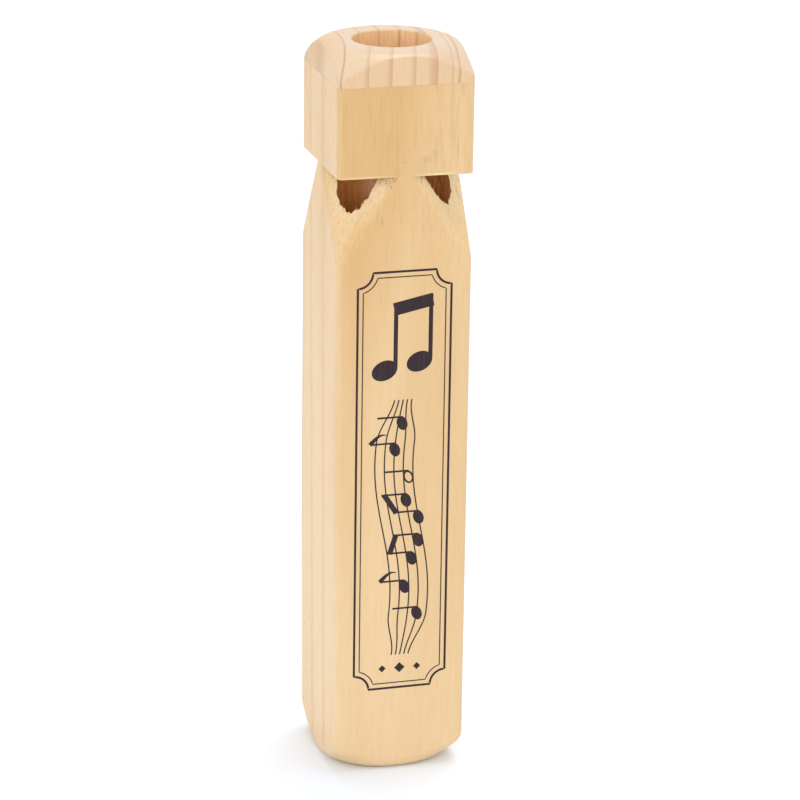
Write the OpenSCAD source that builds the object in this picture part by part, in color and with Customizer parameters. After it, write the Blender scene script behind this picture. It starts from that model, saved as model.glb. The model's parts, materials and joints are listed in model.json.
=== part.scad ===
// Four-note wooden train whistle: a square block drilled with four blind tone bores,
// one fipple plug in the top of each bore, and a turned mouthpiece cap glued on the end.
// The whistle stands on its foot at z = 0, centred on the Z axis, with its front towards -Y.

/* [Block] */
// Width of the square block across its flat faces
block_w = 37.8; // [35:0.1:46]
// Height of the block, from the foot up to the seam under the cap
block_h = 196.2; // [185:0.1:240]
// Rounding of the four long edges
edge_r = 1.6; // [0.5:0.1:4]

/* [Turned ends] */
// How far inside the flat faces the turned curve of an end begins
turn_inset = 3.4; // [2.5:0.1:5]
// Radius of the curve that leads from the flat of an end into its shoulder
turn_r = 7; // [4:0.5:9]
// Slope of the shoulder, in degrees from the flat of the end
turn_slope = 41; // [30:1:45]

/* [Mouthpiece cap] */
// Thickness of the cap
cap_h = 8.8; // [8:0.1:20]
// Diameter of the mouth bore through the cap
mouth_d = 21.6; // [16:0.1:26]
// Offset of the mouth bore from the block's middle, towards the right
mouth_shift = 0.8; // [-1.5:0.1:1.5]
// Size of the bevel round the rim of the mouth bore
mouth_bevel = 0.5; // [0.2:0.1:1.5]

/* [Tone bores] */
// Diameter of each tone bore
bore_d = 13.4; // [11:0.1:14.5]
// Wall between a tone bore and the flat face beside it, before the offset
bore_wall = 2.8; // [2:0.1:3.5]
// Offset of the four tone bores from the block's middle, towards the right
bore_shift = -0.8; // [-1.2:0.1:1.2]
// Sounding length of the front left bore, below the head
tone_front_left = 146; // [80:1:155]
// Sounding length of the front right bore, below the head
tone_front_right = 115; // [80:1:155]
// Sounding length of the back left bore, below the head
tone_back_left = 96; // [80:1:155]
// Sounding length of the back right bore, below the head
tone_back_right = 85; // [80:1:155]
// Included angle of the drill point at the bottom of a bore, in degrees
drill_angle = 150; // [118:1:170]

/* [Corner cuts] */
// Height of the uncut head, from the corner cuts up to the seam under the cap
head_h = 24.6; // [18:0.1:36]
// Length of a corner cut along each face, measured right under the head
cut_leg = 15.8; // [14.5:0.1:17]
// Slope of a corner cut from the long axis, in degrees
cut_angle = 24.7; // [18:0.1:32]

/* [Fipple plugs] */
// Depth of the breath space between the cap and the tops of the plugs
plug_recess = 4; // [2:0.5:8]
// Height of the windway where breath enters it, at the top of a plug
windway_in = 2.2; // [1.6:0.1:3]
// Height of the windway where the air sheet leaves it, at the foot of a plug
windway_out = 1.3; // [0.8:0.1:1.5]
// Glue gap all round between a plug and its bore
glue_gap = 0.05; // [0.02:0.01:0.1]

/* [Hidden] */
$fn = 96;

// Cutters run this far past the faces that they open
overrun = 1;

// Side of each corner along X and Y
front_left = [-1, -1];
front_right = [1, -1];
back_left = [-1, 1];
back_right = [1, 1];

// Distance from the axis to a long edge, before its rounding
corner_reach = block_w / sqrt(2);
// Distance from the axis to the flat of a corner cut, right under the head
cut_reach = (block_w - cut_leg) / sqrt(2);
// Level of the underside of the head
head_z = block_h - head_h;

// Radius of a tone bore, and the distance of its axis from the middle of the drilled pattern along X and Y
bore_r = bore_d / 2;
bore_at = block_w / 2 - bore_wall - bore_r;
// Depth of the cone that the drill point leaves
drill_point = bore_r / tan(drill_angle / 2);

// Length of a fipple plug, which ends level with the underside of the head
plug_h = head_h - plug_recess;

// Turned profile: radius of the flat, and where the curve runs into the straight shoulder
turn_flat_r = block_w / 2 - turn_inset;
shoulder_r = turn_flat_r + turn_r * sin(turn_slope);
shoulder_drop = turn_r * (1 - cos(turn_slope));
// Drop of the shoulder by the time it has reached a long edge
corner_drop = shoulder_drop + (corner_reach - shoulder_r) * tan(turn_slope);

// Angle of a corner's diagonal about the Z axis
function diagonal(corner) = atan2(corner[1], corner[0]);

// Place of the axis of a corner's tone bore, at a level
function bore_axis(corner, level) = [bore_shift + corner[0] * bore_at, corner[1] * bore_at, level];

// Height of the windway at a level above the foot of a plug
function windway_at(level) = windway_out + (windway_in - windway_out) * level / plug_h;

// Square bar with rounded long edges, standing on z = 0
module rounded_bar(height) {
    inner_w = block_w - 2 * edge_r;
    linear_extrude(height) {
        square([block_w, inner_w], center = true);
        square([inner_w, block_w], center = true);
        for (corner = [front_left, front_right, back_left, back_right])
            translate(corner * inner_w / 2)
                circle(edge_r);
    }
}

// Round bar with one turned end: the flat of the end is at z = 0 and the bar hangs below it
module turned_bar(length) {
    rotate_extrude() {
        translate([0, -length])
            square([turn_flat_r, length]);
        translate([turn_flat_r, -turn_r])
            circle(turn_r);
        polygon([
            [0, -length],
            [corner_reach, -length],
            [corner_reach, -corner_drop],
            [shoulder_r, -shoulder_drop],
            [turn_flat_r, -turn_r]
        ]);
    }
}

// Space that a drill leaves: from below the head by the sounding length, out through the block's top
module tone_bore(corner, tone) {
    top = tone + head_h + overrun;
    translate(bore_axis(corner, head_z - tone))
        rotate_extrude()
            polygon([[0, -drill_point], [bore_r, 0], [bore_r, top], [0, top]]);
}

// Wedge sawn off a long edge: level under the head, sloping out to the edge below it
module corner_cut(corner) {
    reach = corner_reach + overrun;
    run = (reach - cut_reach) / tan(cut_angle);
    rotate([0, 0, diagonal(corner)])
        rotate([90, 0, 0])
            linear_extrude(block_w, center = true)
                polygon([[cut_reach, head_z], [reach, head_z], [reach, head_z - run]]);
}

// Dowel that closes the top of a bore, with a sloping flat on its outer side for the windway
module fipple_plug(corner) {
    low = -overrun;
    high = plug_h + overrun;
    translate(bore_axis(corner, head_z))
        rotate([0, 0, diagonal(corner)])
            difference() {
                cylinder(r = bore_r - glue_gap, h = plug_h);
                rotate([90, 0, 0])
                    linear_extrude(bore_d, center = true)
                        polygon([
                            [bore_r - windway_at(low), low],
                            [bore_d, low],
                            [bore_d, high],
                            [bore_r - windway_at(high), high]
                        ]);
            }
}

module body_block() {
    color("#F0D2A6")
        difference() {
            intersection() {
                rounded_bar(block_h);
                mirror([0, 0, 1])
                    turned_bar(block_h + overrun);
            }
            tone_bore(front_left, tone_front_left);
            tone_bore(front_right, tone_front_right);
            tone_bore(back_left, tone_back_left);
            tone_bore(back_right, tone_back_right);
            for (corner = [front_left, front_right, back_left, back_right])
                corner_cut(corner);
        }
}

module mouthpiece_cap() {
    rim_r = mouth_d / 2;
    color("#EBC795")
        translate([0, 0, block_h])
            difference() {
                intersection() {
                    rounded_bar(cap_h);
                    translate([0, 0, cap_h])
                        turned_bar(cap_h + overrun);
                }
                translate([mouth_shift, 0, -overrun])
                    cylinder(r = rim_r, h = cap_h + 2 * overrun);
                translate([mouth_shift, 0, cap_h - mouth_bevel])
                    cylinder(r1 = rim_r, r2 = rim_r + 2 * mouth_bevel, h = 2 * mouth_bevel);
            }
}

module fipple_plug_front_left() {
    color("#DDB47C")
        fipple_plug(front_left);
}

module fipple_plug_front_right() {
    color("#DDB47C")
        fipple_plug(front_right);
}

module fipple_plug_back_left() {
    color("#DDB47C")
        fipple_plug(back_left);
}

module fipple_plug_back_right() {
    color("#DDB47C")
        fipple_plug(back_right);
}

body_block();
mouthpiece_cap();
fipple_plug_front_left();
fipple_plug_front_right();
fipple_plug_back_left();
fipple_plug_back_right();
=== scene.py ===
import json

import bmesh
import bpy
import numpy as np
from mathutils import Matrix, Vector


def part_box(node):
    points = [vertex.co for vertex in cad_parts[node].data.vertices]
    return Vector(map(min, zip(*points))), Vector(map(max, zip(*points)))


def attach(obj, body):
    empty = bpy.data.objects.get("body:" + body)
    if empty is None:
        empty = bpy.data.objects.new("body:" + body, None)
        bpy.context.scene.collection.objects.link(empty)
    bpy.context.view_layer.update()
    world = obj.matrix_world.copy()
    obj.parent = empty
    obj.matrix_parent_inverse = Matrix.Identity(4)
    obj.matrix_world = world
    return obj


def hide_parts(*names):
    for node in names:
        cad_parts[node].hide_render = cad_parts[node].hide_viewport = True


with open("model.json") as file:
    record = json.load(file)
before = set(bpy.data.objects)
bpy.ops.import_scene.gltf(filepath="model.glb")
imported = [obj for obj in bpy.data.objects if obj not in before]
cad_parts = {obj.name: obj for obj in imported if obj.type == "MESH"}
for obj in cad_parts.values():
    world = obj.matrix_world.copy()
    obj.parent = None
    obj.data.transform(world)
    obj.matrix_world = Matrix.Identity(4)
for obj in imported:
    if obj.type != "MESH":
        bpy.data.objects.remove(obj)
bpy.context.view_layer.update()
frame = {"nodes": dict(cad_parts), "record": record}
mm = 0.001  # shapes are worked out in millimetres and stored in metres


# Sizes that the frame gives

def boxInMm(node):
    return np.array(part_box(node)) / mm


blockLow, blockHigh = boxInMm("body_block")
halfWidth = (blockHigh[0] - blockLow[0]) / 2
seamLevel = blockHigh[2]
topLevel = boxInMm("mouthpiece_cap")[1][2]
frontFace = blockLow[1]

corners = {"front_left": (-1, -1), "front_right": (1, -1), "back_left": (-1, 1), "back_right": (1, 1)}
glueGap = 0.05  # all round a plug
plugBoxes = {corner: boxInMm("fipple_plug_" + corner) for corner in corners}
boreAxes = {corner: (low + high)[:2] / 2 for corner, (low, high) in plugBoxes.items()}
boreRadius = np.ptp(plugBoxes["front_left"], axis=0)[0] / 2 + glueGap
headLevel = plugBoxes["front_left"][0][2]
mouth = next(mount for mount in frame["record"]["mounts"] if mount["name"] == "mouth")
mouthRadius = mouth["dims"]["r_mm"]
mouthShift = mouth["pos_m"][0] / mm


# Camera, at the place that the photograph's perspective gives

view = {  # in degrees and millimetres
    "azimuth": -16.202,
    "elevation": 18.288,
    "roll": 0.842,
    "distance": 1017.5,
    "targetLevel": 102.87,
    "targetRight": 4.385,
    "lens": 165.47,
    "sensor": 36.0,
}


def unit(vectors):
    return vectors / np.linalg.norm(vectors, axis=-1, keepdims=True)


def direction(turn, height):
    # unit vector out at a turn from the front to the right and a height over the horizon, both in degrees
    turn, height = np.radians([turn, height])
    return np.array([np.sin(turn) * np.cos(height), -np.cos(turn) * np.cos(height), np.sin(height)])


def makeCamera():
    # back runs from the target to the camera; right and up turn about it by the roll
    back = direction(view["azimuth"], view["elevation"])
    roll = np.radians(view["roll"])
    right = unit(np.cross([0.0, 0.0, 1.0], back))
    up = np.cross(back, right)
    place = np.array([0.0, 0.0, view["targetLevel"]]) + right * view["targetRight"] + back * view["distance"]
    matrix = np.eye(4)
    matrix[:3, 0] = right * np.cos(roll) + up * np.sin(roll)
    matrix[:3, 1] = up * np.cos(roll) - right * np.sin(roll)
    matrix[:3, 2] = back
    matrix[:3, 3] = place * mm
    data = bpy.data.cameras.new("camera")
    data.lens = view["lens"]
    data.sensor_width = view["sensor"]
    data.clip_start, data.clip_end = 0.05, 20.0  # metres
    camera = bpy.data.objects.new("camera", data)
    camera.matrix_world = Matrix(matrix.tolist())
    bpy.context.scene.collection.objects.link(camera)
    bpy.context.scene.camera = camera


makeCamera()
print("camera set")


# Shared shape tools

def smoothMin(a, b, blend):
    # the lower of two values, rounded over where they come within one blend of each other
    share = np.clip(0.5 + 0.5 * (b - a) / blend, 0.0, 1.0)
    return b + (a - b) * share - blend * share * (1.0 - share)


def smoothStep(low, high, value):
    share = np.clip((value - low) / (high - low), 0.0, 1.0)
    return share * share * (3.0 - 2.0 * share)


def inQuarter(angle, corner):
    # whether an angle lies in the quarter of the bar that ends in this corner
    x, y = corners[corner]
    return (np.cos(angle) * x > 0.0) & (np.sin(angle) * y > 0.0)


def foldedAngle(angle):
    # angle from the middle of the nearest face: 0 at a face's middle, 45 degrees at a long edge
    return np.abs((angle + np.pi / 4) % (np.pi / 2) - np.pi / 4)


def squareRadius(angle, rounding):
    # distance from the axis to a rounded square: its flat side, or the arc about a corner's own centre
    fold = foldedAngle(angle)
    centre = halfWidth - rounding
    reach = centre * (np.cos(fold) + np.sin(fold))
    arc = reach + np.sqrt(np.maximum(rounding**2 - 2.0 * centre**2 + reach**2, 0.0))
    return np.where(halfWidth * np.tan(fold) > centre, arc, halfWidth / np.cos(fold))


turnedEnd = {
    "flatRadius": halfWidth - 3.4,  # where the curve of a turned end begins
    "curve": 7.0,  # radius of that curve
    "slope": np.radians(41.0),  # slope of the shoulder after it
}
turnedEnd["bendDepth"] = turnedEnd["curve"] * (1.0 - np.cos(turnedEnd["slope"]))
turnedEnd["bendRadius"] = turnedEnd["flatRadius"] + turnedEnd["curve"] * np.sin(turnedEnd["slope"])


def turnedRadius(depth):
    # radius at a depth below the flat of a turned end: a circular arc, then a straight shoulder
    arc = turnedEnd["flatRadius"] + np.sqrt(np.maximum(2.0 * turnedEnd["curve"] * depth - depth**2, 0.0))
    shoulder = turnedEnd["bendRadius"] + (depth - turnedEnd["bendDepth"]) / np.tan(turnedEnd["slope"])
    return np.where(depth < turnedEnd["bendDepth"], arc, shoulder)


def turnedDepth(radius):
    # the same profile read the other way: depth below the flat at a radius
    out = np.clip(radius - turnedEnd["flatRadius"], 0.0, turnedEnd["curve"])
    arc = turnedEnd["curve"] - np.sqrt(turnedEnd["curve"]**2 - out**2)
    shoulder = turnedEnd["bendDepth"] + (radius - turnedEnd["bendRadius"]) * np.tan(turnedEnd["slope"])
    return np.where(radius < turnedEnd["bendRadius"], arc, shoulder)


def roundTheBar(angle, size):
    # a size that changes round the bar: one value on the faces, one at the long edges and one at the back
    # left edge, which is rubbed the most
    atEdge = np.where(inQuarter(angle, "back_left"), size["back_left"], size["edge"])
    toEdge = smoothStep(np.pi * 0.15, np.pi * 0.25, foldedAngle(angle))
    return size["face"] + (atEdge - size["face"]) * toEdge


columnRuns = {"face": 14, "corner": 30}  # columns from a face's middle to a crease, and on to the long edge


def ringAngles(crease):
    # column angles of each ring: even steps from a face's middle to the crease, cosine steps from the crease
    # to the diagonal, then mirrored into eight runs; crease is its distance from the face's middle
    crease = np.atleast_1d(crease)[:, None]
    start = np.arctan2(crease, halfWidth)
    face = np.arctan2(crease * np.linspace(0.0, 1.0, columnRuns["face"], endpoint=False), halfWidth)
    eased = (1.0 - np.cos(np.pi * np.linspace(0.0, 1.0, columnRuns["corner"]))) / 2.0
    run = np.concatenate([face, start + (np.pi / 4 - start) * eased], axis=1)
    quarter = np.concatenate([run, np.pi / 2 - run[:, -2:0:-1]], axis=1)
    return np.concatenate([quarter + turn * np.pi / 2 for turn in range(4)], axis=1)


def ringPoints(angle, radius, level, shift=0.0):
    # points of rings from angle, radius and level arrays, which may broadcast; shift moves them along X
    angle, radius, level, shift = np.broadcast_arrays(angle, radius, level, shift)
    return np.stack([radius * np.cos(angle) + shift, radius * np.sin(angle), level], axis=-1)


def gridFaces(ringCount, columnCount, wrapRings):
    # quads between neighbouring rings; columns always wrap, rings wrap on a shape that closes on itself
    index = np.arange(ringCount * columnCount).reshape(ringCount, columnCount)
    here = index if wrapRings else index[:-1]
    above = np.roll(index, -1, axis=0) if wrapRings else index[1:]
    return np.stack([here, np.roll(here, -1, 1), np.roll(above, -1, 1), above], axis=-1).reshape(-1, 4)


def joinGrids(grids):
    # points and faces of several grids as one, each grid with whether its rings wrap
    starts = np.cumsum([0] + [grid.shape[0] * grid.shape[1] for grid, wraps in grids])
    faces = [gridFaces(*grid.shape[:2], wraps) + start for (grid, wraps), start in zip(grids, starts)]
    return np.concatenate([grid.reshape(-1, 3) for grid, wraps in grids]), np.concatenate(faces)


def makePiece(name, points, faces, weld=0.0005):
    # a mesh object from arrays in mm; points closer than weld become one, which closes poles and empty quads
    mesh = bpy.data.meshes.new(name)
    mesh.from_pydata((points * mm).tolist(), [], faces.tolist())
    work = bmesh.new()
    work.from_mesh(mesh)
    bmesh.ops.remove_doubles(work, verts=work.verts, dist=weld * mm)
    bmesh.ops.dissolve_degenerate(work, edges=work.edges, dist=weld * mm)
    work.to_mesh(mesh)
    work.free()
    piece = bpy.data.objects.new(name, mesh)
    bpy.context.scene.collection.objects.link(piece)
    return piece


def applyModifiers(piece):
    # the piece keeps the shape that its modifiers give, and the modifiers go
    evaluated = piece.evaluated_get(bpy.context.evaluated_depsgraph_get())
    shaped = bpy.data.meshes.new_from_object(evaluated)
    piece.modifiers.clear()
    shaped.materials.clear()
    piece.data = shaped


def smoothShade(piece, sharpAbove):
    # smooth shading, with edges over that angle in degrees kept crisp
    piece.data.polygons.foreach_set("use_smooth", np.ones(len(piece.data.polygons), bool))
    piece.data.set_sharp_from_angle(angle=np.radians(sharpAbove))


# Pine block: bar, turned foot, corner cuts and head in one skin, then the four bores drilled out of it

block = {
    "edgeRound": 1.6,  # rounding of the long edges
    "rubbedBy": 1.7,  # the back left edge is rubbed that much rounder at the foot
    "rubbedFrom": 80.0,  # level where that begins
    "cutLeg": 15.8,  # corner cut along each face, right under the head
    "cutAngle": np.radians(24.7),  # slope of a cut from the long axis
    # how far a cut runs into the front or back, into a side, and into the left side at the front left, which
    # is sanded the most
    "softCut": {"front": 2.0, "side": 0.9, "front_left": 2.2},
    "softFoot": {"face": 3.0, "edge": 2.4, "back_left": 4.4},  # the same for the turned foot and the sides
    "headEdge": 0.14,  # worn edge under the head
    # the saw ran off square: the ledge lies low, and lower still at the right and at the front
    "sawnLow": {"all": 0.15, "right": 0.1, "front": 0.05},
    "seamEdge": 0.06,  # broken edge at the seam
    "tone": {"front_left": 146.0, "front_right": 115.0, "back_left": 96.0, "back_right": 85.0},
    "drillAngle": np.radians(150.0),
    "tearDepth": 0.34,  # how ragged the drilled edge is where the cut thins it
    "tears": ((96, 0.5), (34, 0.8)),  # fine strips and coarser splits: how many round a bore, and weight
    "tearLength": 2.6,
    "tearSeed": 11,
    "slips": {"front_left": (0.4, 0.0), "front_right": (-0.95, -0.95)},  # slip of the drill at a window
    "chips": {"front_right": 0.15},  # wood split off the tip of a lip
    "rings": {"disc": 6, "foot": 30, "wall": 13, "cut": 68, "edge": 5, "head": 5},  # rings on each stretch
    "boreRings": {"plain": 4, "torn": 56},
    "boreColumns": 192,
}
block["cutReach"] = (2.0 * halfWidth - block["cutLeg"]) / np.sqrt(2.0)
block["cutFoot"] = headLevel - 24.5  # just below the lowest point of the cuts
block["tornFrom"] = headLevel - 20.0  # bores are torn above that level


def cutReachAt(level):
    # distance from the axis to the flat of a corner cut, which slopes out below the head
    return block["cutReach"] + (headLevel - level) * np.tan(block["cutAngle"])


def wallRadius(angle, level):
    # distance from the axis to the long faces; the back left edge grows rounder towards the foot
    rubbed = block["rubbedBy"] * (1.0 - smoothStep(0.0, block["rubbedFrom"], level))
    return squareRadius(angle, block["edgeRound"] + rubbed * inQuarter(angle, "back_left"))


def blockRings():
    # rings from the middle of the foot, out over its turned edge, up the faces and cuts, round the ledge
    # under the head and up to the middle of the top
    edgeStart = halfWidth - block["edgeRound"]
    angle = ringAngles(edgeStart)
    wall = wallRadius(angle, 0.0)
    soft = roundTheBar(angle, block["softFoot"])
    footTop = turnedDepth(wall) + soft * np.tan(turnedEnd["slope"])
    steps = {run: np.linspace(0.0, 1.0, count)[:, None] for run, count in block["rings"].items()}
    footLevel = steps["foot"][1:]**2 * footTop
    footRadius = smoothMin(wall, turnedRadius(footLevel), soft)
    wallLevel = footTop + (block["cutFoot"] - footTop) * steps["wall"][1:]
    rings = [
        ringPoints(angle, steps["disc"] * turnedEnd["flatRadius"], 0.0),
        ringPoints(angle, footRadius, footLevel),
        ringPoints(angle, wallRadius(angle, wallLevel), wallLevel),
    ]

    level = np.linspace(block["cutFoot"], headLevel, block["rings"]["cut"])[1:, None]
    reach = cutReachAt(level)
    crease = np.minimum(np.sqrt(2.0) * reach[:, 0] - halfWidth, edgeStart)
    angle = ringAngles(crease)
    square = squareRadius(angle, block["edgeRound"])
    cut = reach / np.cos(np.pi / 4 - foldedAngle(angle))
    softCut = block["softCut"]
    soft = np.where(inQuarter(angle, "front_left"), softCut["front_left"], softCut["side"])
    toFront = smoothStep(-0.3, 0.3, np.abs(np.sin(angle)) - np.abs(np.cos(angle)))
    radius = smoothMin(square, cut, soft + (softCut["front"] - soft) * toFront)
    rings.append(ringPoints(angle, radius, level))

    angle, square = angle[-1:], square[-1:]
    worn = np.minimum(block["headEdge"], square - radius[-1:])
    turn = np.linspace(0.0, np.pi / 2, block["rings"]["edge"])[:, None]
    edgeIn, edgeUp = worn * (1.0 - np.sin(turn)), worn * (1.0 - np.cos(turn))
    headTop = seamLevel - block["seamEdge"]
    headRise = headTop - headLevel - worn
    rings += [
        ringPoints(angle, square - edgeIn, headLevel + edgeUp),
        ringPoints(angle, square, headLevel + worn + headRise * steps["head"][1:]),
        ringPoints(angle, (square - block["seamEdge"]) * steps["disc"][::-1], seamLevel),
    ]
    rings = np.concatenate(rings)

    # the ledge dips as a tilted plane, and the wood above and below it follows less and less
    x, y, z = np.moveaxis(rings, -1, 0)
    dipFrom, dipTo = headLevel - 6.0, seamLevel - 2.0
    near = smoothStep(dipFrom, headLevel, z) * (1.0 - smoothStep(headLevel + 1.0, dipTo, z))
    low = block["sawnLow"]
    rings[..., 2] -= near * (low["all"] + low["right"] * x / halfWidth - low["front"] * y / halfWidth)
    return rings


def latticeNoise(values, row, column):
    # smooth noise: a lattice of values read at fractional rows and columns, whose columns wrap
    row0, column0 = np.floor(row).astype(int), np.floor(column).astype(int)
    rowShare, columnShare = smoothStep(0.0, 1.0, row - row0), smoothStep(0.0, 1.0, column - column0)
    rows = np.stack([row0, row0 + 1]) % values.shape[0]
    columns = np.stack([column0, column0 + 1]) % values.shape[1]
    near = values[rows[:, None], columns[None]]
    low, high = near[:, 0] * (1 - columnShare) + near[:, 1] * columnShare
    return low * (1 - rowShare) + high * rowShare


tearDraw = np.random.default_rng(block["tearSeed"])
tearLattices = {
    corner: [tearDraw.uniform(-1.0, 1.0, (12, count)) for count, weight in block["tears"]]
    for corner in corners
}


def boreTear(corner, angle, level):
    # how far a bore's wall is torn back: fine strips and coarser splits that follow the fibres, deepest at
    # the tip of the lip, which may have lost a chip too; the slip of the drill is added, and all fade out
    # below the cut and just under the plug
    row = (level - block["tornFrom"]) / block["tearLength"]
    share = (angle / (2.0 * np.pi)) % 1.0
    tear = sum(weight * latticeNoise(lattice, row, share * count)
               for lattice, (count, weight) in zip(tearLattices[corner], block["tears"]))
    low = 1.0 - smoothStep(headLevel - 8.0, headLevel - 2.5, level)
    outward = np.cos(angle - np.arctan2(*corners[corner][::-1]))
    chip = block["chips"].get(corner, 0.0) * smoothStep(0.8, 0.97, outward) * low
    slipX, slipY = block["slips"].get(corner, (0.0, 0.0))
    slip = slipX * np.cos(angle) + slipY * np.sin(angle)
    fade = smoothStep(block["tornFrom"], block["tornFrom"] + 6.0, level)
    fade = fade * (1.0 - smoothStep(headLevel - 0.5, headLevel, level))
    return (block["tearDepth"] * tear * (0.3 + 0.7 * low) + chip + slip) * fade


def boreRings(corner):
    # a drill's space: cone, long wall that is torn where the corner cut opens it, flat end above the block
    bottom = headLevel - block["tone"][corner]
    tip = bottom - boreRadius / np.tan(block["drillAngle"] / 2.0)
    level = np.concatenate([
        np.linspace(bottom, block["tornFrom"], block["boreRings"]["plain"], endpoint=False),
        np.linspace(block["tornFrom"], headLevel, block["boreRings"]["torn"]),
        [seamLevel + 1.0],
    ])
    angle = np.linspace(0.0, 2.0 * np.pi, block["boreColumns"], endpoint=False)
    level, angle = np.meshgrid(level, angle, indexing="ij")
    wall = ringPoints(angle, boreRadius + boreTear(corner, angle, level), level)
    ends = ringPoints(angle[:2], 0.0, np.array([[tip], [seamLevel + 1.0]]))
    rings = np.concatenate([ends[:1], wall, ends[1:]])
    rings[..., :2] += boreAxes[corner]
    return rings


def makeBlock():
    skin = makePiece("pine_block_skin", *joinGrids([(blockRings(), False)]))
    drills = makePiece("drills", *joinGrids([(boreRings(corner), False) for corner in corners]))
    drilled = skin.modifiers.new("drilled", "BOOLEAN")
    drilled.operation = "DIFFERENCE"
    drilled.solver = "MANIFOLD"
    drilled.object = drills
    applyModifiers(skin)
    bpy.data.objects.remove(drills)
    smoothShade(skin, 28.0)
    return skin


def readArrays(parts, placeName):
    # places in mm and unit normals of a mesh's faces or points
    place, normal = np.empty((2, len(parts) * 3), np.float32)
    parts.foreach_get(placeName, place)
    parts.foreach_get("normal", normal)
    return place.reshape(-1, 3) / mm, normal.reshape(-1, 3)


def faceAxis(centre, normal, axis, least):
    # distance of faces from an upright axis, and whether they face it by at least that share
    out = centre[:, :2] - axis
    distance = np.linalg.norm(out, axis=1)
    return distance, np.sum(out * normal[:, :2], axis=1) < -least * distance


def finishZones(skin):
    # how each face of the block was made: 0 planed and sanded; 1 sawn across the fibres, which are the
    # slanted flats of the cuts and the ledge that faces down; 2 drilled, which faces in towards a bore's axis
    centre, normal = readArrays(skin.data.polygons, "center")
    zone = np.zeros(len(centre), np.int32)
    sawn = (centre[:, 2] > block["cutFoot"]) & (centre[:, 2] < headLevel + 0.01)
    sawn &= (np.abs(normal[:, :2]) > [0.12, 0.35]).all(axis=1) & (normal[:, 2] > 0.08)
    sawn |= (np.abs(centre[:, 2] - headLevel) < 0.4) & (normal[:, 2] < -0.9)
    zone[sawn] = 1
    for axis in boreAxes.values():
        distance, inward = faceAxis(centre, normal, axis, 0.2)
        cone = (normal[:, 2] > 0.5) & (centre[:, 2] < block["cutFoot"])
        zone[(distance < boreRadius + 1.5) & (inward | cone)] = 2
    return zone


def markPaled(piece, name, share):
    # how far the wood is paled at each point, by a saw or by painted light, as a point attribute from 0 to 1
    attribute = piece.data.attributes.new(name, "FLOAT", "POINT")
    attribute.data.foreach_set("value", share.astype(np.float32))


def markBlock(skin):
    # painted light: the foot and the worn edge under the head, whose normals lean down, paler as painted
    # bounce light from the floor; the rounded long edges, from the sides to the front and less with height,
    # paler as a painted sheen; sawn: the corner cuts, more with height, where they lie further across the
    # fibres, and less where they run into a face and stand upright
    place, normal = readArrays(skin.data.vertices, "co")
    level = place[:, 2]
    leanX, leanY, leanZ = np.abs(normal).T
    # painted sheen: paler on the rounded long edges, towards the sides, fading with height
    edge = smoothStep(0.0, 0.08, leanY) * smoothStep(0.0, 0.75, leanX)
    edge *= 1.0 - smoothStep(60.0, 320.0, level)
    # painted bounce light: paler where the normals lean down, on the foot and the worn edge under the head
    foot = smoothStep(0.1, 0.7, -normal[:, 2])
    cut = smoothStep(block["cutFoot"] + 7.0, headLevel - 4.0, level) * smoothStep(0.1, 0.4, leanZ)
    markPaled(skin, "turned", np.maximum(edge, foot))
    markPaled(skin, "sawn", cut)


blockSkin = makeBlock()
markBlock(blockSkin)
blockSkin.data.polygons.foreach_set("material_index", finishZones(blockSkin))
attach(blockSkin, "root")
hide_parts("body_block")
print("block skin:", len(blockSkin.data.polygons), "faces")


# Pine cap: a slice of bar with a turned dome and the mouth bore, as one closed ring of profiles

cap = {
    "edgeRound": 1.6,
    "softDome": {"face": 0.4, "edge": 0.9, "back_left": 3.0},  # how far the dome runs into a face or an edge
    "fuller": {"face": 0.0, "edge": 0.3, "back_left": 0.6},  # how far its shoulder is fuller than turned
    "seamEdge": 0.06,  # broken edge at the seam
    "rimBevel": 0.55,  # bevel round the mouth
    "margin": 0.4,  # rings of the dome reach that far below it, but stay that far above the seam
    "rings": {"flat": 7, "dome": 34, "rim": 6},  # rings on each stretch
}


def capRings():
    # from the mouth's foot out along the seam, up the faces, in over the dome to the rim and down the bore
    angle = ringAngles(halfWidth - cap["edgeRound"])
    wall = squareRadius(angle, cap["edgeRound"])
    soft, fuller = roundTheBar(angle, cap["softDome"]), roundTheBar(angle, cap["fuller"])
    margin, count = cap["margin"], cap["rings"]
    domeFoot = np.minimum(turnedDepth(wall) + margin + soft, topLevel - seamLevel - margin)

    def sideRadius(level):
        depth = topLevel - level
        return smoothMin(wall, turnedRadius(depth) + fuller * smoothStep(0.5, 4.0, depth), soft)

    steps = np.linspace(0.0, 1.0, count["flat"])[:, None]
    under = mouthRadius + (sideRadius(seamLevel) - cap["seamEdge"] - mouthRadius) * steps
    wallFrom = seamLevel + cap["seamEdge"]
    wallLevel = wallFrom + (topLevel - domeFoot - wallFrom) * steps
    domeSteps = np.linspace(1.0, 0.0, count["dome"])[1:, None]
    domeLevel = topLevel - domeSteps**2 * domeFoot
    bevel = cap["rimBevel"]
    rimRadius = mouthRadius + bevel
    topRadius = turnedEnd["flatRadius"] + (rimRadius - turnedEnd["flatRadius"]) * steps[1:]
    turn = np.linspace(0.0, np.pi / 2, count["rim"])[1:, None]
    rimDown = topLevel - bevel * (1.0 - np.cos(turn))
    rimIn = rimRadius - bevel * np.sin(turn)
    boreLevel = (topLevel - bevel) + (seamLevel - topLevel + bevel) * steps[1:-1]
    return np.concatenate([
        ringPoints(angle, under, seamLevel, mouthShift * (1.0 - steps)),
        ringPoints(angle, sideRadius(wallLevel), wallLevel),
        ringPoints(angle, sideRadius(domeLevel), domeLevel),
        ringPoints(angle, topRadius, topLevel, mouthShift * steps[1:]),
        ringPoints(angle, rimIn, rimDown, mouthShift),
        ringPoints(angle, mouthRadius, boreLevel, mouthShift),
    ])


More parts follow.
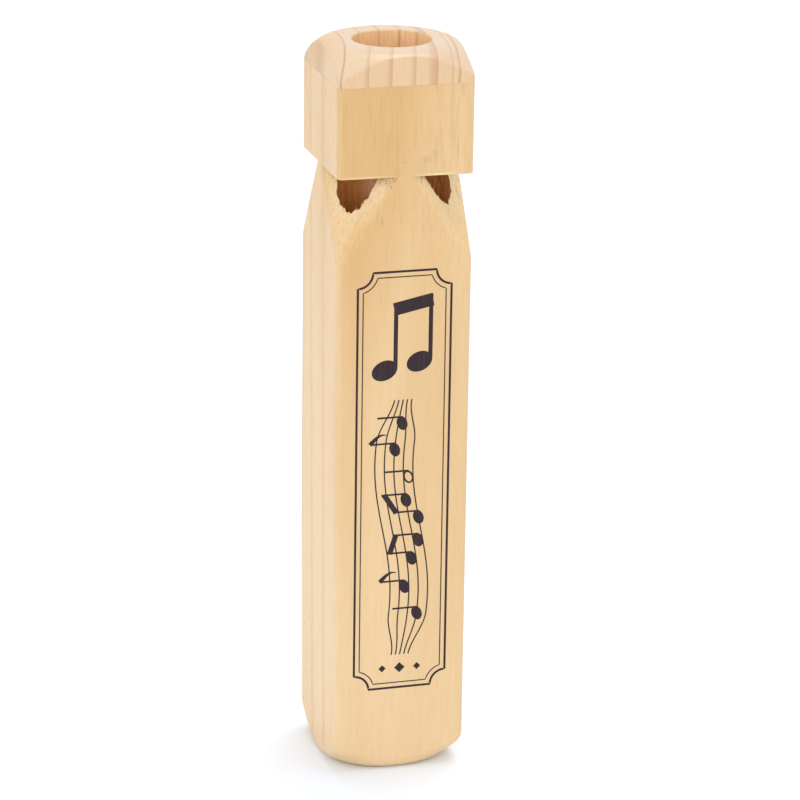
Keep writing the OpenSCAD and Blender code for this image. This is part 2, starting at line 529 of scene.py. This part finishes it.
def capZones(skin):
    # how each face of the cap was made: 0 sanded or turned, 1 drilled for the mouth
    centre, normal = readArrays(skin.data.polygons, "center")
    distance, inward = faceAxis(centre, normal, [mouthShift, 0.0], 0.8)
    return (inward & (distance < mouthRadius + 0.5)).astype(np.int32)


capSkin = makePiece("pine_cap_skin", *joinGrids([(capRings(), True)]))
smoothShade(capSkin, 28.0)
leanUp = readArrays(capSkin.data.vertices, "co")[1][:, 2]
markPaled(capSkin, "turned", smoothStep(0.12, 0.45, leanUp))  # the dome, which faces up: paler as a painted highlight
capSkin.data.polygons.foreach_set("material_index", capZones(capSkin))
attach(capSkin, "root")
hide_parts("mouthpiece_cap")
print("cap skin:", len(capSkin.data.polygons), "faces")


# Torn fibres: slivers standing along the lips of the windows, and grain lifted from the cuts by the saw

fibres = {
    "perLip": 46,
    "lipLength": (0.2, 1.0),
    "lipLean": (-0.05, 0.5),  # towards the bore
    "lipScatter": 0.08,
    "perCut": 80,
    "cutLength": (0.2, 0.6),
    "cutDeep": 15.0,  # how far below the head they reach
    "cutLift": (0.05, 0.35),  # out of the cut
    "cutScatter": 0.12,
    "thick": (0.08, 0.22),
    "rooted": 0.3,  # how far each one starts inside the wood
    "seed": 5,
}


def sliverPoints(root, along, length, thick):
    # four-sided slivers from roots, unit directions, lengths and thicknesses: five rings along each, with a
    # point at both ends; their sides stand square to the direction
    side = unit(np.cross(along, [0.31, 0.52, 0.8]))
    out = np.cross(along, side)
    place = np.array([0.0, 0.02, 0.45, 0.75, 1.0])
    taper = np.array([0.0, 1.0, 0.85, 0.5, 0.0]) / 2.0
    turn = np.radians([45.0, 135.0, 225.0, 315.0])
    section = side[:, None] * np.cos(turn)[:, None] + out[:, None] * np.sin(turn)[:, None]
    middle = root[:, None] + (along * length[:, None])[:, None] * place[:, None]
    return middle[:, :, None] + section[:, None] * (thick[:, None] * taper)[:, :, None, None]


def lipRoots(corner, draw):
    # roots along a window's lip, where the torn bore wall meets the cut, found by settling the level
    count = fibres["perLip"]
    side = np.array(corners[corner])
    angle = np.arctan2(side[1], side[0]) + draw.uniform(-1.0, 1.0, count)
    around = np.stack([np.cos(angle), np.sin(angle)], axis=1)
    level = np.full(count, headLevel - 5.0)
    for settle in range(4):
        place = boreAxes[corner] + around * (boreRadius + boreTear(corner, angle, level))[:, None]
        level = headLevel - (place @ side / np.sqrt(2.0) - block["cutReach"]) / np.tan(block["cutAngle"])
    lean = -around * draw.uniform(*fibres["lipLean"], count)[:, None]
    along = np.column_stack([lean, np.ones(count)]) + draw.normal(0.0, fibres["lipScatter"], (count, 3))
    root = np.column_stack([place + around * 0.05, level - 0.03])
    clear = level < headLevel - 1.2
    return root[clear], along[clear]


def cutRoots(corner, draw):
    # roots on a corner cut, closer together towards the head and clear of the window
    count = fibres["perCut"]
    side = np.array(corners[corner]) / np.sqrt(2.0)
    level = headLevel - 0.3 - fibres["cutDeep"] * draw.uniform(0.0, 1.0, count)**2
    reach = cutReachAt(level)
    across = draw.uniform(-1.0, 1.0, count) * (halfWidth * np.sqrt(2.0) - reach - 0.6)
    place = reach[:, None] * side + across[:, None] * np.array([-side[1], side[0]])
    clear = np.linalg.norm(place - boreAxes[corner], axis=1) > boreRadius + 0.5
    up = np.append(-side * np.sin(block["cutAngle"]), np.cos(block["cutAngle"]))
    lift = np.column_stack([np.outer(draw.uniform(*fibres["cutLift"], count), side), np.zeros(count)])
    along = up * draw.choice([-1.0, 1.0], count)[:, None] + lift
    along += draw.normal(0.0, fibres["cutScatter"], (count, 3))
    return np.column_stack([place, level])[clear], along[clear]


def makeFibres():
    draw = np.random.default_rng(fibres["seed"])
    slivers = []
    for corner in corners:
        for roots, span in ((lipRoots, fibres["lipLength"]), (cutRoots, fibres["cutLength"])):
            root, along = roots(corner, draw)
            along = unit(along)
            length = span[0] + (span[1] - span[0]) * draw.uniform(0.0, 1.0, len(root))**2
            thick = draw.uniform(*fibres["thick"], len(root))
            inside = root - along * fibres["rooted"]
            slivers += list(sliverPoints(inside, along, length + fibres["rooted"], thick))
    grids = [(sliver, False) for sliver in slivers]
    return makePiece("torn_pine_fibres", *joinGrids(grids), weld=0.0001)


fibrePiece = makeFibres()
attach(fibrePiece, "root")
print("torn fibres:", len(fibrePiece.data.polygons), "faces")


# Print on the front: a plain musical design in one dark ink, a thin film that stands on the wood

ink = {
    "film": 0.03,  # how far the lowest layer stands out of the wood
    "layer": 0.012,  # each later layer stands that much further out, so crossing shapes do not share a face
    "sunk": 0.1,  # how far the film reaches into the wood
    "middle": 85.0,  # level of the middle of the frame
    "frame": (13.1, 60.3),  # half width and half height of the frame
    "notch": 4.2,  # radius of its hollow corners
    "lines": ((0.0, 0.62), (1.5, 0.3)),  # inset and width of the two frame lines
    "staff": (34.5, 109.0),  # levels of the ends of the stave
    "gap": 2.7,  # between the stave's lines
    "wave": 2.4,  # how far the stave swings from side to side
    "staffLine": 0.36,
    "stem": 0.5,
    "stemLength": 7.0,
    "head": (2.1, 1.45),  # half sizes of a note's head
    "tilt": np.radians(22.0),
    # notes on the stave: how far along, steps from its middle line, and kind; pairs are joined by a beam
    "notes": ((0.16, -2, "quarter"), (0.27, 1, "flag"), (0.70, -3, "half"), (0.81, 0, "flag")),
    "pairs": (((0.38, -1), (0.45, -3)), ((0.54, -4), (0.61, -2))),
    "lastNote": (0.91, -1, "quarter"),
    "crest": ((-5.4, 117.6), (4.4, 119.6)),  # heads of the large notes
    "crestHead": (3.7, 2.75),
    "crestStem": (3.05, 19.0),  # from the middle of a head to the top of its stem
    "diamonds": ((-5.0, 0.7), (0.0, 1.0), (5.0, 0.7)),  # place and size of each
    "diamondLevel": 30.6,
}


def inkShape(flat, sunk, layer):
    # rings of flat points (x, z) become rings in the front face: raised by the layer, or sunk where marked
    raised = frontFace - ink["film"] - ink["layer"] * layer
    depth = np.broadcast_to(np.where(sunk, frontFace + ink["sunk"], raised), flat.shape[:2])
    return np.stack([flat[..., 0], depth, flat[..., 1]], axis=-1)


def inkStrip(path, width, layer=0, closed=False):
    # a flat band along a path: its right-hand side at each point is the path's direction turned clockwise
    path = np.asarray(path, float)
    run = np.roll(path, -1, 0) - np.roll(path, 1, 0) if closed else np.gradient(path, axis=0)
    right = unit(np.stack([run[:, 1], -run[:, 0]], axis=1))
    half = right * np.broadcast_to(np.asarray(width, float) / 2.0, len(path))[:, None]
    flat = np.stack([path - half, path + half, path + half, path - half], axis=1)
    shape = inkShape(flat, np.array([False, False, True, True]), layer)
    if not closed:
        ends = shape[[0, -1]].mean(axis=1, keepdims=True).repeat(4, axis=1)
        shape = np.concatenate([ends[:1], shape, ends[1:]])
    return shape, closed


def inkBlot(centre, outline, layer=0):
    # a filled shape about its centre: outline points run clockwise; face, edge and sunk side are four rings
    outline = np.asarray(centre) + outline
    middle = np.broadcast_to(np.asarray(centre, float), outline.shape)
    flat = np.stack([middle, outline, outline, middle])
    return inkShape(flat, np.array([False, False, True, True])[:, None], layer), False


def ellipse(half, tilt, count=40):
    # clockwise outline of an ellipse whose long axis is turned by the tilt
    turn = -np.linspace(0.0, 2.0 * np.pi, count, endpoint=False)
    along, across = half[0] * np.cos(turn), half[1] * np.sin(turn)
    x = along * np.cos(tilt) - across * np.sin(tilt)
    return np.stack([x, along * np.sin(tilt) + across * np.cos(tilt)], axis=1)


def frameShapes():
    # an oblong whose corners are hollowed by quarter circles; the inner line keeps its distance all round
    shapes = []
    for inset, width in ink["lines"]:
        radius = ink["notch"] + inset
        trim = np.arcsin(inset / radius)
        arc = np.linspace(np.pi / 2 - trim, trim, 14)
        turn = np.arange(4)[:, None] * np.pi / 2 + np.pi + arc[None, :]
        signs = np.array([[1, 1], [-1, 1], [-1, -1], [1, -1]])
        centre = signs * ink["frame"] + np.array([0.0, ink["middle"]])
        path = centre[:, None] + radius * np.stack([np.cos(turn), np.sin(turn)], axis=-1)
        shapes.append(inkStrip(path.reshape(-1, 2), width, closed=True))
    return shapes


def staffPlace(share, step):
    # a point of the stave at a share of its length: the middle line swings in one S, and a step of one is
    # half a gap towards the left; the lines draw together at both ends
    low, high = ink["staff"]
    share = np.asarray(share, float)
    pinch = 0.45 + 0.55 * np.minimum(smoothStep(0.0, 0.16, share), smoothStep(0.0, 0.16, 1.0 - share))
    swing = ink["wave"] * np.sin(2.0 * np.pi * share)
    return np.stack([swing - step * ink["gap"] / 2.0 * pinch, low + (high - low) * share], axis=-1)


def noteShapes(share, step, kind):
    # one note on the stave: head, stem towards the left, and a flag or an open head where its kind has one
    head = staffPlace(share, step)
    foot = head + np.array([0.0, ink["head"][0] * 0.86])
    tip = foot - np.array([ink["stemLength"], 0.0])
    shapes = [inkStrip(np.linspace(foot, tip, 3), ink["stem"], 2)]
    outline = ellipse(ink["head"], np.pi / 2 + ink["tilt"])
    if kind == "half":
        shapes.append(inkStrip(head + outline[::-1] * 0.8, 0.5, 1, closed=True))
    else:
        shapes.append(inkBlot(head, outline, 1))
    if kind == "flag":
        curl = np.linspace(0.0, 1.0, 16)
        path = tip + np.stack([4.6 * curl, 2.6 * np.sin(np.pi * 0.62 * curl)], axis=1)
        shapes.append(inkStrip(path, 1.15 * (1.0 - curl) + 0.16, 3))
    return shapes, tip


def staffShapes():
    share = np.linspace(0.0, 1.0, 90)
    shapes = [inkStrip(staffPlace(share, step), ink["staffLine"]) for step in (-4, -2, 0, 2, 4)]
    for note in ink["notes"]:
        shapes += noteShapes(*note)[0]
    for first, second in ink["pairs"]:
        left, leftTip = noteShapes(*first, "quarter")
        right, rightTip = noteShapes(*second, "quarter")
        beam = np.linspace(leftTip + [0.7, -0.2], rightTip + [0.7, 0.2], 5)
        shapes += left + right + [inkStrip(beam, 1.5, 3)]
    return shapes + noteShapes(*ink["lastNote"])[0]


def crestShapes():
    # a large pair of joined notes above the stave and a row of diamonds below it
    heads = np.array(ink["crest"])
    tops, feet = heads + ink["crestStem"], heads + [ink["crestStem"][0], 0.8]
    shapes = [inkBlot(head, ellipse(ink["crestHead"], ink["tilt"], 56), 1) for head in heads]
    shapes += [inkStrip(np.linspace(foot, top, 4), 1.15, 2) for foot, top in zip(feet, tops)]
    drop, past = np.array([0.0, 1.75]), unit(tops[1] - tops[0]) * 0.55
    shapes.append(inkStrip(np.linspace(tops[0] - drop - past, tops[1] - drop + past, 6), 3.6, 3))
    diamond = np.array([[0.0, 1.5], [1.5, 0.0], [0.0, -1.5], [-1.5, 0.0]])
    return shapes + [inkBlot((x, ink["diamondLevel"]), diamond * size, 1) for x, size in ink["diamonds"]]


printed = frameShapes() + staffShapes() + crestShapes()
printPiece = makePiece("front_print", *joinGrids(printed), weld=0.0001)
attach(printPiece, "root")
print("print:", len(printPiece.data.polygons), "faces")


# Materials

def linear(hexColour):
    # an sRGB hex colour as linear RGBA
    channels = np.array([int(hexColour[i:i + 2], 16) for i in (1, 3, 5)]) / 255.0
    curved = ((channels + 0.055) / 1.055) ** 2.4
    return (*np.where(channels <= 0.04045, channels / 12.92, curved).tolist(), 1.0)


def nodesOf(owner):
    # clears the node tree of a material or of the world, and gives the function that adds a node to it
    owner.use_nodes = True
    tree = owner.node_tree
    tree.nodes.clear()

    def add(kind, inputs=None, **settings):
        # outputs of a new node with its settings; each input is a plain value or another node's output
        node = tree.nodes.new("ShaderNode" + kind)
        for name, value in settings.items():
            setattr(node, name, value)
        for name, value in (inputs or {}).items():
            if isinstance(value, bpy.types.NodeSocket):
                tree.links.new(value, node.inputs[name])
            else:
                node.inputs[name].default_value = value
        return node.outputs

    return add


def calc(add, operation, *inputs):
    return add("Math", dict(enumerate(inputs)), operation=operation)[0]


def stretch(add, value, low, high, start=0.0, end=1.0):
    # a value's run from low to high as a run from start to end, which it doesn't leave
    runs = {"From Min": low, "From Max": high, "To Min": start, "To Max": end}
    return add("MapRange", {"Value": value, **runs})[0]


def mix(add, share, first, second):
    # a colour that runs from one to another with the share
    return add("Mix", {0: share, 6: first, 7: second}, data_type="RGBA")[2]


def placeInMm(add):
    # a point's place in the whistle
    place = add("TexCoord")["Object"]
    return add("VectorMath", {0: place, "Scale": 1.0 / mm}, operation="SCALE")[0]


def grainNoise(add, inMm, sizes, detail, roughness):
    # noise from 0 to 1 whose patches have those sizes in mm, longest along the grain
    scaled = add("Mapping", {"Vector": inMm, "Scale": tuple(1.0 / size for size in sizes)})[0]
    return add("TexNoise", {"Vector": scaled, "Scale": 1.0, "Detail": detail, "Roughness": roughness})[0]


def softSpot(add, inMm, centre, size, by):
    # that strength at a place in the wood, falling to 0 on the ellipsoid of that size about it
    off = add("VectorMath", {0: inMm, 1: centre}, operation="SUBTRACT")[0]
    share = add("VectorMath", {0: off, 1: size}, operation="DIVIDE")[0]
    reach = add("VectorMath", {0: share}, operation="LENGTH")["Value"]
    return stretch(add, reach, 1.0, 0.0, end=by)


def ringShare(add, inMm, look, wander):
    # share of latewood: distance along the direction in which the tree grew outwards, wandering a little, and
    # a ramp over it that holds the rings
    growth = add("VectorMath", {0: inMm, 1: look["growth"]}, operation="DOT_PRODUCT")["Value"]
    place = add("SeparateXYZ", {0: inMm})
    if "bow" in look:
        # rings bowed about a pith that lies far off: a parabola across the board, flatter for the outer rings
        bow = look["bow"]
        off = calc(add, "SUBTRACT", place["Y"], bow["middle"])
        square = calc(add, "MULTIPLY", off, off)
        rise = calc(add, "MULTIPLY_ADD", square, -bow["curve"], bow["rise"])
        level = calc(add, "MULTIPLY_ADD", rise, -bow["share"], growth)
        spread = calc(add, "MULTIPLY_ADD", rise, -bow["spread"], 1.0)
        growth = calc(add, "DIVIDE", level, spread)
    if "edgeTurn" in look:
        # rings turn away close to the sides of the bar, by the sixth power of the distance from its middle
        side = calc(add, "DIVIDE", place["X"], halfWidth)
        sixth = calc(add, "POWER", side, 6.0)
        growth = calc(add, "MULTIPLY_ADD", sixth, look["edgeTurn"], growth)
    wavy = calc(add, "MULTIPLY_ADD", wander, look["wanderBy"], growth)
    low, high = look["growthRange"]
    middle = look["wanderBy"] / 2
    years = stretch(add, wavy, low + middle, high + middle)
    stops = []
    for at, soft, wide, fade, depth in look["rings"]:
        stops += [(at - soft, 0.0), (at - wide, look["ringRise"] * depth), (at, depth), (at + fade, 0.0)]
    ramp = add("ValToRGB", {"Fac": years})[0]
    elements = ramp.node.color_ramp.elements
    while len(elements) < len(stops):
        elements.new(1.0)
    for element, (at, grey) in zip(elements, stops):
        element.position = (at - low) / (high - low)
        element.color = (grey, grey, grey, 1.0)
    return ramp


grainNoises = {  # detail and roughness of the noises that a look stretches along its grain
    "wander": (5.0, 0.6),  # rings that wander a little
    "drift": (1.0, 0.5),  # broad drift of tone, a few centimetres across and longer along the grain
    "fibre": (4.0, 0.62),  # fibres: real ones are some 0.03 mm across, drawn coarser so that they show
    "dash": (0.0, 0.5),  # resin dashes: short, thin and rare
    "speck": (3.0, 0.5),  # grain torn out by the saw
}


def pine(look):
    # pine: wide pale earlywood, each year's ring ending in a narrow browner line, fine long fibres, and a few
    # short resin dashes; the finish sets how rough the cut fibres stand
    material = bpy.data.materials.new(look["name"])
    add = nodesOf(material)
    inMm = placeInMm(add)
    level = add("SeparateXYZ", {0: inMm})["Z"]
    noise = {
        name: grainNoise(add, inMm, sizes, *grainNoises[name]) for name, sizes in look["sizesMm"].items()
    }

    # rings in the wood's own tones, and in paler ones where a saw has cut across the fibres, or where
    # light is painted on as sheen, bounce light or highlight
    rings = ringShare(add, inMm, look, noise["wander"])
    woods = [
        mix(add, rings, linear(tones["early"]), linear(tones["late"]))
        for tones in (look, look["paled"]) if tones
    ]
    wood = woods[0]
    if look["paled"]:
        # the paler share: sawn wood, or painted light on the edges, foot and dome
        cut = add("Attribute", attribute_name=look["paled"]["where"])["Fac"]
        wood = mix(add, cut, *woods)

    # tones laid over the rings, each with its share; a noise shows between its low value and its high one
    shares = {}
    for name, low, high in (("drift", 0.42, 0.7), ("fibre", look["fibreFrom"], 0.75), ("dash", 0.8, 0.86)):
        shares[name] = stretch(add, noise[name], low, high, end=look[name + "By"])
    warm = calc(add, "MULTIPLY_ADD", level, look["warmPerMm"], shares["drift"])
    layers = [(warm, look["warm"]), (shares["fibre"], look["streak"])]
    if look["headFibre"]:
        # the browner wood towards the head shows its fibres more
        upper = look["headFibre"]
        near = stretch(add, level, upper["from"], headLevel, end=upper["by"])
        layers.append((stretch(add, noise["fibre"], 0.5, 0.75, end=near), upper["tone"]))
    layers.append((shares["dash"], look["dash"]))
    if "tearOut" in look:
        # specks that thicken towards the ledge under the head
        tear = look["tearOut"]
        near = stretch(add, level, headLevel - tear["deep"], headLevel, -0.2, 0.2)
        torn = calc(add, "ADD", noise["speck"], near)
        layers.append((stretch(add, torn, 0.62, 0.74, end=tear["by"]), tear["tone"]))
    layers += [(softSpot(add, inMm, at, size, by), tone) for at, size, by, tone in look["marks"]]
    for share, tone in layers:
        wood = mix(add, share, wood, linear(tone))

    roughness = stretch(add, noise["fibre"], 0.3, 0.7, *look["roughness"])
    relief = add("Bump", {"Height": noise["fibre"], "Strength": 1.0, "Distance": look["reliefMm"] * mm})[0]
    shader = add("BsdfPrincipled", {
        "Base Color": wood, "Roughness": roughness, "Normal": relief,
        "IOR": 1.5, "Specular IOR Level": look["gloss"],
    })
    add("OutputMaterial", {"Surface": shader[0]})
    return material


# In the looks, a ring is the place where it is darkest, how far before that it starts and how far it has
# risen, how far after that it ends, and its depth. A mark is its place, half sizes, strength and tone.

# The back left edge, darker: painted shade on its rounded side, which turns away from the light
shadedBackLeftEdge = ((-halfWidth, halfWidth, 100.0), (3.6, 3.6, 250.0), 0.55, "#BFA27C")
# Radiata pine, planed and sanded: pale straw, soft satin, rings seen as lines on the sides and as a slow
# change of tone across the front, where a ring lies almost flat in the face
sandedPine = dict(
    name="radiata_pine_sanded",
    early="#FBDBAB", late="#E2AF6D", warm="#E4B876", streak="#DDB27A", dash="#A9763F",
    growth=(0.158, 1.0, -0.035), growthRange=(-32.0, 28.0), edgeTurn=1.8,
    rings=[(-26.0, 5.6, 2.6, 2.2, 0.74)] + [(at, 2.8, 1.1, 0.7, 0.55) for at in (-9.6, 3.1, 15.8)],
    ringRise=0.8,
    # paler tones for painted light: sheen on the long edges, bounce light under the foot
    paled={"where": "turned", "early": "#FADFB4", "late": "#F0CB98"},
    marks=[
        ((5.6, frontFace, 175.9), (2.4, 2.0, 1.5), 0.3, "#A39274"),  # pencil smudges
        ((7.5, frontFace, 177.7), (1.5, 2.0, 1.0), 0.2, "#A39274"),
        ((-0.3, frontFace, 175.3), (1.0, 2.0, 0.8), 0.25, "#A39274"),
        ((14.2, frontFace, 178.6), (0.35, 1.0, 5.5), 0.35, "#A9763F"),  # resin line
        ((-2.35, frontFace, 172.5), (0.5, 1.0, 2.4), 0.3, "#B98A4C"),  # resin streak
        ((-6.6, frontFace, 159.5), (0.4, 1.0, 1.8), 0.5, "#A9763F"),  # resin dash
        ((-12.0, frontFace, 171.75), (10.5, 1.5, 0.5), 0.8, "#FFE0AC"),  # painted highlight along the lower edge of the head
        ((9.0, frontFace, 171.65), (7.5, 1.5, 0.5), 1.0, "#FFEAB6"),
        ((-halfWidth, 10.2, 184.0), (2.0, 1.0, 40.0), 0.38, "#CBA250"),  # rings that stand out on the head
        ((-halfWidth, -2.8, 184.0), (2.0, 1.0, 40.0), 0.32, "#CBA050"),
        shadedBackLeftEdge,
    ],
    sizesMm={"wander": (14.0, 14.0, 150.0), "drift": (17.0, 17.0, 120.0),
             "fibre": (0.6, 0.6, 9.0), "dash": (0.6, 0.6, 7.0)},
    wanderBy=2.6, driftBy=0.3, warmPerMm=0.0024, fibreFrom=0.3, fibreBy=0.32, dashBy=0.03,
    headFibre={"from": 130.0, "by": 0.28, "tone": "#C08B48"},
    roughness=(0.26, 0.36), reliefMm=0.01, gloss=0.7)
# The same pine where a saw has crossed its fibres at a slant: paler and duller, with raised fibre ends
sawnPine = dict(
    sandedPine, name="radiata_pine_sawn", warm="#ECC183", streak="#DFB47C",
    sizesMm=dict(sandedPine["sizesMm"], fibre=(0.6, 0.6, 5.0), speck=(0.7, 0.7, 1.3)),
    fibreFrom=0.45, fibreBy=0.35, dashBy=0.0, roughness=(0.6, 0.75), reliefMm=0.12, gloss=0.6,
    paled={"where": "sawn", "early": "#FFF0CA", "late": "#FFE5B9"},
    tearOut={"deep": 8.0, "by": 0.55, "tone": "#B98A52"},
    marks=[
        ((16.8, -10.1, 164.0), (0.9, 1.3, 4.4), 0.5, "#C08C66"),  # resin beside the front right window
        ((-5.6, -17.2, 171.2), (5.0, 5.0, 3.0), 0.34, "#9E6E36"),  # painted shade under the ledge
        ((4.6, -17.8, 171.2), (3.0, 3.0, 2.0), 0.25, "#9C7040"),
        shadedBackLeftEdge,
    ])
# The same pine inside a drilled bore: scuffed by the drill, browner and matt, with a patch of painted light
# in one
drilledPine = dict(
    sandedPine, name="radiata_pine_drilled",
    early="#E8AD6B", late="#D08F50", warm="#DF9F5C", streak="#C98748",
    fibreFrom=0.45, fibreBy=0.3, headFibre=None, roughness=(0.75, 0.9), reliefMm=0.12, gloss=0.2, paled=None,
    # painted light that falls in through the left window onto the bore's far wall
    marks=[((-5.6, -4.6, 165.5), (4.5, 3.5, 6.5), 0.6, "#FFDCB4")])
# Cap: another board, paler and pinker, with close rings that stand on edge and run through to the mouth bore
cappingPine = dict(
    name="radiata_pine_cap_turned",
    early="#EFCEA3", late="#BF875A", warm="#E8BD90", streak="#DBB48A", dash="#AE7F55",
    growth=(1.0, 0.0, 0.0), growthRange=(-30.0, 22.0),
    bow={"middle": 9.0, "curve": 0.00878, "rise": 6.88, "share": 0.62, "spread": 0.016},
    rings=[(-25.4, 4.2, 0.6, 1.5, 0.6), (-18.3, 0.7, 0.4, 0.2, 0.95), (-10.9, 1.4, 0.6, 0.2, 0.55),
           (-4.3, 1.6, 0.9, 0.25, 0.55), (2.0, 1.5, 0.7, 0.25, 0.5), (8.0, 2.5, 1.7, 0.25, 0.65),
           (12.4, 0.8, 0.45, 0.2, 0.42), (14.4, 0.8, 0.45, 0.2, 0.85)],
    ringRise=0.5,
    # paler, less saturated tones where the dome faces up: a painted highlight
    paled={"where": "turned", "early": "#E9CFAE", "late": "#C8946B"},
    marks=[((-16.5, 3.0, 202.0), (6.0, 15.0, 7.0), 0.62, "#E2A34A")],  # browner towards the left side
    sizesMm={"wander": (7.0, 11.0, 11.0), "drift": (14.0, 14.0, 30.0),
             "fibre": (0.6, 0.9, 8.0), "dash": (0.6, 0.6, 4.0)},
    wanderBy=1.2, driftBy=0.3, warmPerMm=0.0, fibreFrom=0.45, fibreBy=0.35, dashBy=0.35, headFibre=None,
    roughness=(0.28, 0.38), reliefMm=0.02, gloss=0.65)
# The mouth bore through the cap: drilled, more orange, with finer and darker ring lines
mouthPine = dict(
    cappingPine, name="radiata_pine_mouth_drilled",
    early="#FAD8AC", late="#BD8553", warm="#F4CA96", streak="#E0AC74",
    rings=[(at, 0.8, 0.35, 0.25, depth)
           for at, depth in ((-11.6, 0.5), (-4.4, 0.5), (1.5, 0.8), (6.2, 0.55))],
    sizesMm=dict(cappingPine["sizesMm"], fibre=(0.5, 0.5, 5.0)), fibreBy=0.5,
    roughness=(0.6, 0.75), reliefMm=0.08, gloss=0.4, paled=None, marks=[])
# Dowel rod of the plugs: cut from stock and never sanded, so browner, with its fibres standing
dowelPine = dict(
    sandedPine, name="pine_dowel_raw", early="#DDB47C", late="#C0925C", warm="#D2A566", streak="#B98C54",
    growth=(1.0, 0.3, 0.02), edgeTurn=0.0, headFibre=None, marks=[], paled=None,
    rings=[(at, 1.5, 0.6, 0.3, 0.6) for at in (-9.0, -5.0, 6.0, 10.0)],
    roughness=(0.65, 0.8), reliefMm=0.08, gloss=0.3)


def screenInk():
    # screen-printed ink, brown black and nearly matt: thin enough that raised fibres wear through as faint
    # streaks
    material = bpy.data.materials.new("screen_ink_brown_black")
    add = nodesOf(material)
    worn = grainNoise(add, placeInMm(add), (0.5, 0.5, 9.0), 3.0, 0.5)
    share = stretch(add, worn, 0.5, 0.8)
    film = mix(add, share, linear("#2A1C23"), linear("#4A343A"))
    relief = add("Bump", {"Height": worn, "Strength": 1.0, "Distance": 0.02 * mm})[0]
    finish = {"Base Color": film, "Normal": relief, "Roughness": 0.6, "Specular IOR Level": 0.35}
    add("OutputMaterial", {"Surface": add("BsdfPrincipled", finish)[0]})
    return material


finishes = [pine(look) for look in (sandedPine, sawnPine, drilledPine)]
for finish in finishes:
    blockSkin.data.materials.append(finish)
fibrePiece.data.materials.append(finishes[1])
printPiece.data.materials.append(screenInk())
for look in (cappingPine, mouthPine):
    capSkin.data.materials.append(pine(look))
dowel = pine(dowelPine)
for corner in corners:
    plug = frame["nodes"]["fipple_plug_" + corner]
    plug.data.materials.clear()
    plug.data.materials.append(dowel)
print("wood finished")


# Floor, light and background

stage = {
    "floorSize": 12.0,  # metres
    # linear RGBA of the paper: what it throws back, in reflections, and to the camera, which sees it
    # overexposed, and cool in the shadow
    "floorShade": (0.82, 0.83, 0.85, 1.0),
    "floorMirrored": (1.0, 1.0, 1.0, 1.0),
    "floorSeen": (1.04, 1.11, 1.22, 1.0),
    "skyStrength": 0.7,
}


def makeFloor():
    half = stage["floorSize"] / 2 / mm
    points = np.array([[-half, -half, 0.0], [half, -half, 0.0], [half, half, 0.0], [-half, half, 0.0]])
    floor = makePiece("floor", points, np.array([[0, 1, 2, 3]]))
    material = bpy.data.materials.new("studio_paper")
    add = nodesOf(material)
    rays = add("LightPath")
    mirrored = mix(add, rays["Is Glossy Ray"], stage["floorShade"], stage["floorMirrored"])
    seen = mix(add, rays["Is Camera Ray"], mirrored, stage["floorSeen"])
    add("OutputMaterial", {"Surface": add("BsdfDiffuse", {"Color": seen})[0]})
    floor.data.materials.append(material)


def makeSky():
    # white to the camera and in reflections, softer as a light
    world = bpy.data.worlds.new("studio")
    bpy.context.scene.world = world
    add = nodesOf(world)
    rays = add("LightPath")
    seen = rays["Is Camera Ray"]
    for other in ("Is Glossy Ray", "Is Transmission Ray"):
        seen = calc(add, "MAXIMUM", seen, rays[other])
    strength = stretch(add, seen, 0.0, 1.0, stage["skyStrength"])
    sky = add("Background", {"Color": (1.0, 1.0, 1.0, 1.0), "Strength": strength})
    add("OutputWorld", {"Surface": sky[0]})


softLights = {  # turn and height that each comes from and its spread, in degrees, and its strength
    "overhead": (140.0, 74.0, 40.0, 0.9),
    "front_left": (-42.0, 10.0, 60.0, 0.75),
    "left": (-78.0, 12.0, 60.0, 0.18),
    "right": (42.0, 15.0, 60.0, 0.32),
}


def makeSoftLights():
    # wide suns: as soft as a lit ceiling, and even over the whole floor
    for name, (turn, height, spread, strength) in softLights.items():
        data = bpy.data.lights.new(name, "SUN")
        data.energy = strength
        data.angle = np.radians(spread)
        lamp = bpy.data.objects.new(name, data)
        lamp.rotation_euler = Vector(direction(turn, height)).to_track_quat("Z", "Y").to_euler()
        bpy.context.scene.collection.objects.link(lamp)


makeFloor()
makeSky()
makeSoftLights()
bpy.context.scene.view_settings.view_transform = "Standard"
print("stage lit")
